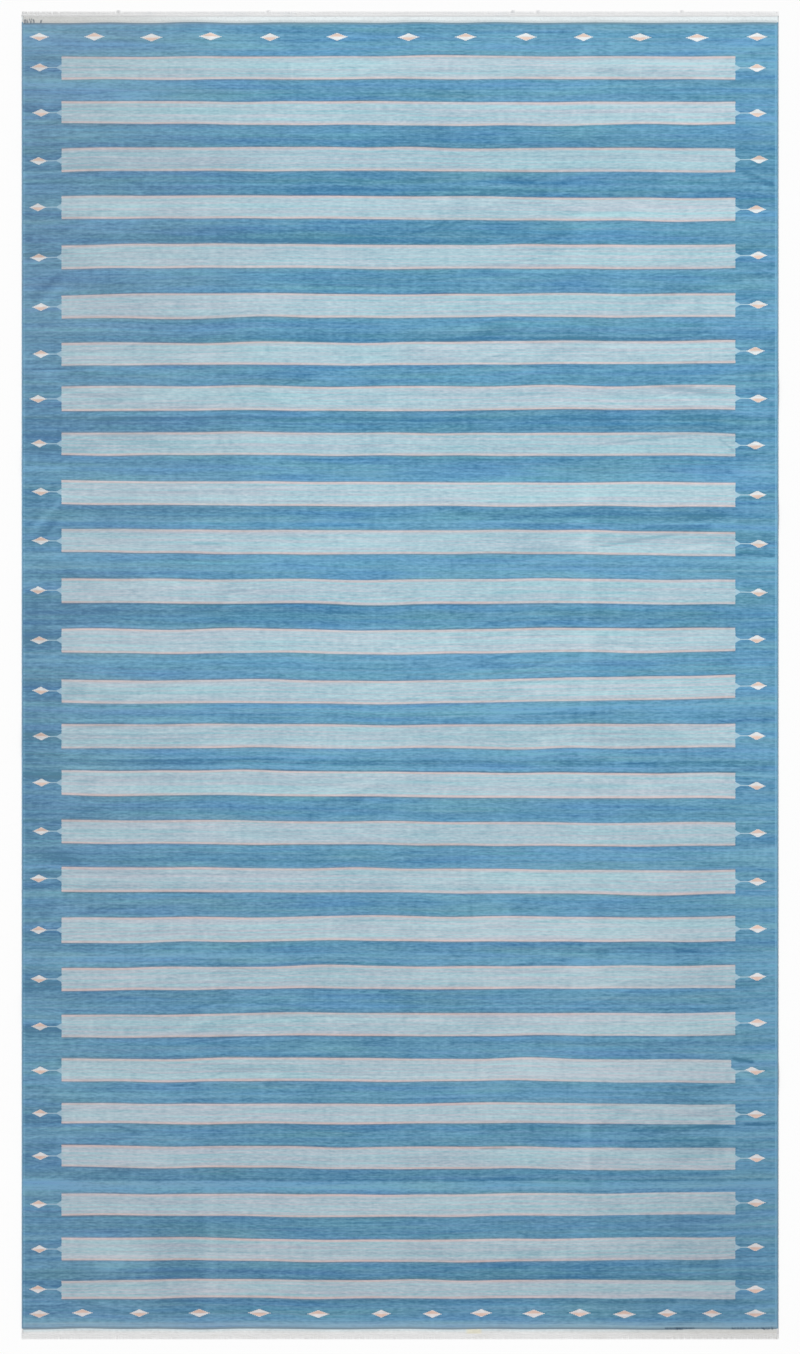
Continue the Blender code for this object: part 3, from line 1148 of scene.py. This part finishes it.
def striped_weave():
    recipe = Recipe("striped_weave", 0.9)
    recipe.shader.inputs["Sheen Weight"].default_value = 0.08
    recipe.shader.inputs["Sheen Roughness"].default_value = 0.5
    x, y, _ = recipe.place()
    weft = recipe.mark("weft")
    off = recipe.mark("off_centre")
    half = recipe.mark("half_depth")
    band = recipe.mark("band_no").sum("ROUND")
    side_key = band * 2.0 + (x > 0.0)
    figures = woven_figures(recipe, x, weft, off, half, band, side_key)

    worn_and_shaded = wear_and_slit_shade(recipe, x, weft, side_key, figures)
    # The painted highlight beside each cord, broken into dots.
    highlight_dots = recipe.noise(x * 20.0, weft * 160.0, 12.0) * 1.2 + (x > 0.0) * 0.30 + 0.30
    side_highlight = abs(HALF_WIDTH - abs(x) - SIDE_HIGHLIGHT_INSET).falling(0.002, 0.0055)
    # Painted highlight beside each cord, smudges with painted shade and painted light beside
    # the creases, painted shading of faint wrinkles, and fold crests drawn lighter.
    worn_and_shaded = worn_and_shaded + side_highlight * highlight_dots + smudges_and_painted_shading(x, y) + painted_wrinkle_shading(recipe, x, y)
    worn_and_shaded = worn_and_shaded + lighter_fold_crests(recipe, x, y)
    greener = recipe.noise(x * 1.6, weft * 26.0, 11.0, detail=2.0) * 2.6 + 0.52
    rows_lot = recipe.noise(x * 0.5, weft * 110.0, 17.0) * 2.2
    lot = rows_lot + recipe.noise(x * 2.5, weft * 130.0, 18.0) * 1.5
    lot = lot * (figures.band * 0.70 + 0.60) + 0.5
    line_strength = recipe.noise(x * 1.7, band + off * 40.0, 8.0) * 1.4 + 0.82
    line_strength = line_strength - x.rising(0.4, 1.3) * (y * -1.0).rising(0.8, 2.2) * 0.5

    deep = recipe.blend(greener, DEEP_BLUE, DEEP_GREEN)
    pale = recipe.blend(greener, WORN_BLUE, WORN_GREEN)
    field = recipe.blend(worn_and_shaded, deep, pale)
    light = recipe.blend(worn_and_shaded, DEEP_LIGHT, WORN_LIGHT)
    colour = recipe.blend(figures.band, field, light)
    batch = recipe.blend(lot, ROSY_LOT, GREENISH_LOT)
    colour = recipe.toned(colour, batch)
    tone = worn_and_shaded * 0.30 + 0.85
    marks = recipe.toned(SALMON, tone)
    colour = recipe.blend(figures.line * line_strength, colour, marks)
    colour = recipe.blend(figures.inner * line_strength * 0.3, colour, SALMON)
    colour = recipe.blend(figures.rose * line_strength * 0.42, colour, ROSE)
    colour = recipe.blend(figures.pale * (1.0 - (x < 0.0) * 0.2), colour, PALE)
    ivory = recipe.toned(IVORY, tone)
    peach = recipe.toned(PEACH, tone)
    colour = recipe.blend(figures.ivory, colour, ivory)
    colour = recipe.blend(figures.peach, colour, peach)
    dusty = figures.past_line.rising(-0.045, -0.020) * (y < 0.0)
    colour = recipe.blend(dusty * lot * 0.8, colour, DUSTY_BLUE)
    # Painted shade along the edge where the packed blue wefts end and the web begins.
    blue_end_shade = figures.past_line.rising(-0.016, -0.001) * 0.8
    colour = recipe.blend(blue_end_shade, colour, BLUE_END_SHADE)
    colour = dusted_and_darkened(recipe, colour, x, y)
    web = web_cloth(recipe, x, y, figures.past_line)
    colour = recipe.blend(figures.past_line > 0.0, colour, web)
    roughness = worn_and_shaded * 0.15 + 0.80
    return recipe.finish(colour, roughness, weave_relief(x, weft), RELIEF)


sheet_mesh.materials.append(striped_weave())
print("The weave takes", len(sheet_mesh.materials[0].node_tree.nodes), "nodes")

# %% [markdown]
# ## Geometry Nodes for what repeats
#
# The weft turns round the outer warps more than two thousand times a side, and some
# twelve hundred warp ends hang out of each web. Nobody models those one at a time. A small
# tree of nodes makes one and puts it wherever the piece's own points say.


# %% A bench for Geometry Nodes
class Rule(Bench):
    """A bench for one Geometry Nodes tree with named inputs."""

    KINDS = {float: "NodeSocketFloat", int: "NodeSocketInt"}

    def __init__(self, name, sizes):
        tree = bpy.data.node_groups.new(name, "GeometryNodeTree")
        super().__init__(tree)
        face = tree.interface
        face.new_socket("Geometry", in_out="INPUT", socket_type="NodeSocketGeometry")
        face.new_socket("Geometry", in_out="OUTPUT", socket_type="NodeSocketGeometry")
        for label, value in sizes.items():
            kind = self.KINDS[type(value)]
            face.new_socket(label, in_out="INPUT", socket_type=kind).default_value = value
        face.new_socket("Yarn", in_out="INPUT", socket_type="NodeSocketMaterial")
        self.given = self.node("NodeGroupInput")

    def size(self, label):
        return Measure(self, self.given.outputs[label])

    def random(self, low, high, seed):
        inputs = {"Min": low, "Max": high, "Seed": seed}
        made = self.tree.nodes.new("FunctionNodeRandomValue")
        made.data_type = "FLOAT"
        for name, value in inputs.items():
            socket = next(s for s in made.inputs if s.name == name and s.enabled)
            self.plug(socket, value)
        return Measure(self, next(s for s in made.outputs if s.enabled))

    def keep(self, geometry, name, value):
        """Writes a number on every point, under a name."""
        inputs = {"Geometry": geometry, "Name": name, "Value": value}
        made = self.node(
            "GeometryNodeStoreNamedAttribute", inputs, data_type="FLOAT", domain="POINT"
        )
        return made.outputs[0]

    def kept(self, name):
        made = self.node("GeometryNodeInputNamedAttribute", {"Name": name})
        return Measure(self, made.outputs["Attribute"])

    def finish(self, geometry):
        """Ends the tree with real geometry that has its yarn."""
        real = self.node("GeometryNodeRealizeInstances", {"Geometry": geometry})
        yarn = self.given.outputs["Yarn"]
        dressed = self.node(
            "GeometryNodeSetMaterial", {"Geometry": real.outputs[0], "Material": yarn}
        )
        self.node("NodeGroupOutput", {0: dressed.outputs[0]})
        return self.tree


# %% Turn a rule into a plain mesh
def made_by(rule, name, points, edges, yarn, sizes, marks=()):
    """Runs a rule on some points, and gives back a plain object."""
    start = bpy.data.meshes.new(name + "_points")
    start.from_pydata(points, edges, [])
    for label, values in dict(marks).items():
        attribute = start.attributes.new(label, "FLOAT", "POINT")
        attribute.data.foreach_set("value", values)
    maker = bpy.data.objects.new(name, start)
    bpy.context.scene.collection.objects.link(maker)
    modifier = maker.modifiers.new("rule", "NODES")
    modifier.node_group = rule
    values = {**sizes, "Yarn": yarn}
    for item in rule.interface.items_tree:
        if item.in_out == "INPUT" and item.name in values:
            modifier[item.identifier] = values[item.name]
    bpy.context.view_layer.update()
    graph = bpy.context.evaluated_depsgraph_get()
    mesh = bpy.data.meshes.new_from_object(maker.evaluated_get(graph))
    maker.modifiers.remove(modifier)
    maker.data = mesh
    mesh.name = name
    bpy.data.meshes.remove(start)
    triangles = sum(len(face.vertices) - 2 for face in mesh.polygons)
    print(f"{name}: {triangles} triangles")
    return maker


# %% [markdown]
# ## The selvages
#
# At each side the outer warps are doubled, and every weft turns round them, which makes a
# firm ribbed cord. One turn is a small oval bead, set a little askew. The rule resamples a
# line along the selvage and puts a bead on every point.

# %% The rule for a wrapped cord
CORD_SIZES = {
    "Spacing": 0.0030,
    "Half width": 0.0044,
    "Half height": 0.0021,
    "Turn length": 0.0024,
    "Uneven": 0.10,
    "Askew": 0.16,
    "Seed": 1,
}


def wrapped_cord():
    rule = Rule("wrapped_cord", CORD_SIZES)
    line = rule.node("GeometryNodeMeshToCurve", {"Mesh": rule.given.outputs[0]})
    even = rule.node(
        "GeometryNodeResampleCurve",
        {"Curve": line.outputs[0], "Length": rule.size("Spacing")},
        mode="LENGTH",
    )
    bead = rule.node("GeometryNodeMeshUVSphere", {"Segments": 8, "Rings": 5, "Radius": 1.0})
    smooth = rule.node("GeometryNodeSetShadeSmooth", {"Geometry": bead.outputs["Mesh"]})
    seed = rule.size("Seed")
    fuller = rule.random(-1.0, 1.0, seed) * rule.size("Uneven") + 1.0
    size = rule.vector(
        rule.size("Half width") * fuller,
        rule.size("Turn length"),
        rule.size("Half height") * fuller,
    )
    turn = rule.random(0.6, 1.4, seed + 1) * rule.size("Askew")
    placed = rule.node(
        "GeometryNodeInstanceOnPoints",
        {
            "Points": even.outputs[0],
            "Instance": smooth.outputs[0],
            "Rotation": rule.vector(0.0, 0.0, turn),
            "Scale": size,
        },
    )
    return rule.finish(placed.outputs[0])


# %% Yarn of the selvage
CREAM_FROM = 3.1349


def cord_yarn():
    recipe = Recipe("selvage_yarn", 0.88)
    x, y, _ = recipe.place()
    tone = recipe.noise(y * 55.0, x * 4.0, 1.0) * 0.4 + recipe.noise(y * 3.0, x, 2.0) * 0.3
    tone = tone + 0.97
    grain = recipe.noise(x * 900.0, y * 300.0, 3.0)
    is_cream = abs(y + 0.003) > CREAM_FROM
    colour = recipe.blend(is_cream, dye(124, 168, 194), WEB_FAR)
    colour = recipe.toned(colour, tone + grain * 0.15)
    colour = dusted_and_darkened(recipe, colour, x, y)
    return recipe.finish(colour, grain * 0.2 + 0.88, grain, 0.0002)


# %% Wrap both selvages
CORD_INSET = 0.0049
cord_rule = wrapped_cord()
selvage_yarn = cord_yarn()


def selvage(name, side, seed):
    x = side * (HALF_WIDTH - CORD_INSET)
    heights = lift(x, rows) + CORD_SIZES["Half height"]
    points = [(x, float(y), float(z)) for y, z in zip(rows, heights)]
    edges = [(number, number + 1) for number in range(len(points) - 1)]
    sizes = {**CORD_SIZES, "Seed": seed}
    return made_by(cord_rule, name, points, edges, selvage_yarn, sizes)


left_selvage = selvage("left_selvage", -1, 5)
right_selvage = selvage("right_selvage", 1, 9)

# %% [markdown]
# ## The fringe
#
# Past each web the warps run on as soft twisted ends, and they gather into small locks. The
# rule takes a point for each lock. It sets a row of points there, draws one short curve from
# each, bends the curves towards the lock's middle and a little astray, and sweeps a flattened
# section along them, turning as it goes like plied yarn.

# %% The rule for locks of warp ends
LOCK_SIZES = {
    "Ends": 10,
    "Lock width": 0.0280,
    "Length": 0.025,
    "Shortest": 0.93,
    "Direction": 1.0,
    "Thickness": 0.0014,
    "Gather": 0.12,
    "Stray": 0.0016,
    "Drop": 0.0006,
    "Turns": 1.5,
    "Seed": 1,
}
STRAND_POINTS = 8
STRAND_SIDES = 6


def locks_of_ends():
    rule = Rule("locks_of_warp_ends", LOCK_SIZES)
    width = rule.size("Lock width")
    ends = rule.size("Ends")
    seed = rule.size("Seed")
    row = rule.node(
        "GeometryNodeMeshLine",
        {
            "Count": ends,
            "Start Location": rule.vector(width * -0.5),
            "Offset": rule.vector(width / (ends - 1.0)),
        },
        mode="OFFSET",
    )
    position = rule.node("GeometryNodeInputPosition")
    from_middle = rule.node("ShaderNodeSeparateXYZ", {0: position.outputs[0]}).outputs["X"]
    row_points = rule.keep(row.outputs[0], "from_middle", from_middle)
    rooted = rule.node(
        "GeometryNodeInstanceOnPoints",
        {"Points": rule.given.outputs[0], "Instance": row_points},
    )
    roots = rule.node("GeometryNodeRealizeInstances", {"Geometry": rooted.outputs[0]})
    roots = rule.keep(roots.outputs[0], "astray", rule.random(-1.0, 1.0, seed))
    roots = rule.keep(roots, "raised", rule.random(0.0, 1.0, seed + 1))

    strand = rule.node("GeometryNodeCurvePrimitiveLine", {"End": (0.0, 1.0, 0.0)})
    fine = rule.node(
        "GeometryNodeResampleCurve", {"Curve": strand.outputs[0], "Count": STRAND_POINTS}
    )
    along = Measure(rule, rule.node("GeometryNodeSplineParameter").outputs["Factor"])
    marked = rule.keep(fine.outputs[0], "along", along)
    twist = rule.node(
        "GeometryNodeSetCurveTilt",
        {"Curve": marked, "Tilt": along * rule.size("Turns") * (2 * math.pi)},
    )
    trimmed = rule.random(rule.size("Shortest"), 1.0, seed + 2)
    reach = (rule.size("Length") + rule.kept("extra")) * trimmed
    grown = rule.node(
        "GeometryNodeInstanceOnPoints",
        {
            "Points": roots,
            "Instance": twist.outputs[0],
            "Scale": rule.vector(1.0, reach * rule.size("Direction"), 1.0),
        },
    )
    curves = rule.node("GeometryNodeRealizeInstances", {"Geometry": grown.outputs[0]})
    share = rule.kept("along")
    bend = share * share
    gather = rule.size("Gather") + rule.kept("pinch")
    sideways = rule.kept("astray") * rule.size("Stray") - rule.kept("from_middle") * gather
    drop = rule.kept("raised") * rule.size("Thickness") * 0.35 - rule.size("Drop") * bend
    bent = rule.node(
        "GeometryNodeSetPosition",
        {"Geometry": curves.outputs[0], "Offset": rule.vector(sideways * bend, 0.0, drop)},
    )
    section = rule.node(
        "GeometryNodeCurvePrimitiveCircle",
        {"Resolution": STRAND_SIDES, "Radius": rule.size("Thickness") * 0.5},
    )
    flat = rule.node(
        "GeometryNodeTransform", {"Geometry": section.outputs[0], "Scale": (1.0, 0.42, 1.0)}
    )
    swept = rule.node(
        "GeometryNodeCurveToMesh",
        {"Curve": bent.outputs[0], "Profile Curve": flat.outputs[0], "Fill Caps": True},
    )
    return rule.finish(swept.outputs[0])


# %% Yarn of the warp ends
def warp_yarn(name, colour, stain):
    """Undyed cotton, with a grain along the yarn and soft stains."""
    recipe = Recipe(name, 0.85)
    x, y, _ = recipe.place()
    strand = recipe.noise(x * 330.0, y * 30.0, 1.0)
    cloud = recipe.noise(x * 7.0, y * 20.0, 2.0)
    grain = recipe.noise(x * 900.0, y * 500.0, 3.0)
    tone = strand * 0.22 + cloud * 0.16 + grain * 0.1 + 1.0
    shade = recipe.blend((cloud * 2.0).rising(0.05, 0.5), colour, stain)
    worn_and_shaded = (y < 0.0) * x.rising(0.7, 1.6) + (y > 0.0) * (x * -1.0).rising(0.9, 1.7) * 0.4
    shade = recipe.blend(worn_and_shaded * 0.8, shade, WEB_STAIN)
    shade = recipe.toned(shade, tone)
    return recipe.finish(shade, grain * 0.3 + 0.85, grain, 0.0002)


# %% Knot on both fringes
LOCK_PITCH = 0.030
LOCK_ROOT_WIDTH = 0.024
LONG_LOCK_EXTRA = 0.006
LONG_LOCKS_X = (-1.345, -0.634, 0.537, 0.672, 1.344)
ROOT_OVERLAP = 0.003  # the ends start inside the web
ROOT_HEIGHT = 0.4 * CLOTH_THICK
BESIDE_CORD = 0.002  # between the outermost lock and the selvage
LONG_LOCK_PINCH = 0.45

lock_rule = locks_of_ends()


def lock_centres():
    """Even places for the locks, from one selvage to the other."""
    count = round((2 * HALF_WIDTH - LOCK_ROOT_WIDTH) / LOCK_PITCH) + 1
    first = HALF_WIDTH - LOCK_ROOT_WIDTH / 2 - BESIDE_CORD
    return np.linspace(-first, first, count)


def fringe(name, edge, tip, long_places, shortest, yarn, seed):
    """The warp ends past one web."""
    centres = lock_centres()
    direction = 1.0 if tip > edge else -1.0
    length = abs(tip - edge) + ROOT_OVERLAP
    extra = np.zeros(len(centres))
    pinch = np.random.default_rng(seed).uniform(-0.06, 0.10, len(centres))
    if long_places:
        length -= LONG_LOCK_EXTRA
    for place in long_places:
        nearest = np.abs(centres - place).argmin()
        extra[nearest] = LONG_LOCK_EXTRA
        pinch[nearest] = LONG_LOCK_PINCH
    root = edge - direction * ROOT_OVERLAP
    points = [(float(x), root, ROOT_HEIGHT) for x in centres]
    sizes = {
        **LOCK_SIZES,
        "Length": length,
        "Shortest": shortest,
        "Direction": direction,
        "Seed": seed,
    }
    marks = {"extra": extra, "pinch": pinch}
    return made_by(lock_rule, name, points, [], yarn, sizes, marks)


far_yarn = warp_yarn("far_warp_yarn", dye(252, 253, 254), dye(236, 240, 243))
near_yarn = warp_yarn("near_warp_yarn", dye(242, 242, 242), dye(228, 227, 224))
far_fringe = fringe("far_fringe", FAR_EDGE, FAR_TIP, LONG_LOCKS_X, 0.93, far_yarn, 21)
near_fringe = fringe("near_fringe", NEAR_EDGE, NEAR_TIP, (), 0.98, near_yarn, 22)

# %% [markdown]
# ## Loose ends
#
# A few ends of the blue weft come out at the far left corner and near the right end of the
# near web, and lie over the web. They use the same rule, with two ends to each point. A
# negative `longer` turns an end round, towards the near end of the rug.

# %% Lay the loose blue ends
LooseEnd = namedtuple("LooseEnd", "x y longer")
LOOSE_ENDS = (
    LooseEnd(x=-1.800, y=3.126, longer=0.004),
    LooseEnd(x=-1.788, y=3.128, longer=0.000),
    LooseEnd(x=-1.772, y=3.127, longer=0.007),
    LooseEnd(x=-1.757, y=3.129, longer=0.002),
    LooseEnd(x=-1.724, y=3.128, longer=0.000),
)
LOOSE_HEIGHT = 0.0008  # a loose end lies this far above the web
BUNCH_ABOVE = 0.008  # a bunch comes out this far before the near web
Bunch = namedtuple("Bunch", "start end count longer")
NEAR_BUNCHES = (
    Bunch(start=+1.275, end=+1.315, count=5, longer=-0.024),
    Bunch(start=+1.320, end=+1.355, count=7, longer=-0.026),
    Bunch(start=+1.362, end=+1.408, count=5, longer=-0.023),
    Bunch(start=+1.595, end=+1.650, count=5, longer=-0.024),
    Bunch(start=+1.675, end=+1.735, count=4, longer=-0.022),
    Bunch(start=+1.745, end=+1.785, count=4, longer=-0.026),
)
LOOSE_ENDS += tuple(
    LooseEnd(x=x, y=NEAR_LINE + BUNCH_ABOVE, longer=bunch.longer)
    for bunch in NEAR_BUNCHES
    for x in np.linspace(bunch.start, bunch.end, bunch.count).tolist()
)


def loose_yarn():
    recipe = Recipe("loose_blue_yarn", 0.88)
    x, y, _ = recipe.place()
    grain = recipe.noise(x * 500.0, y * 300.0, 1.0)
    tone = grain * 0.3 + 1.0
    colour = recipe.toned(dye(58, 94, 124), tone)
    return recipe.finish(colour, grain * 0.3 + 0.88, grain, 0.0002)


loose_sizes = {
    **LOCK_SIZES,
    "Ends": 2,
    "Lock width": 0.004,
    "Length": 0.015,
    "Thickness": 0.0022,
    "Gather": -0.8,
    "Stray": 0.006,
    "Drop": -0.0004,
    "Seed": 31,
}
loose_points = [(end.x, end.y, CLOTH_THICK + LOOSE_HEIGHT) for end in LOOSE_ENDS]
loose_marks = {
    "extra": [end.longer for end in LOOSE_ENDS],
    "pinch": [0.0] * len(LOOSE_ENDS),
}
loose_ends = made_by(
    lock_rule, "loose_ends", loose_points, [], loose_yarn(), loose_sizes, loose_marks
)

# %% [markdown]
# ## Handing over
#
# Each piece rides on the rug's one body, and the imported solids that the pieces stand for
# are hidden.

# %% Hand the pieces over
on_the_sheet = [left_selvage, right_selvage, far_fringe, near_fringe, loose_ends]
for piece in [sheet, *on_the_sheet]:
    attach(piece, "root")
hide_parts("rug_cloth")
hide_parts("fringe_far")
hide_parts("fringe_near")
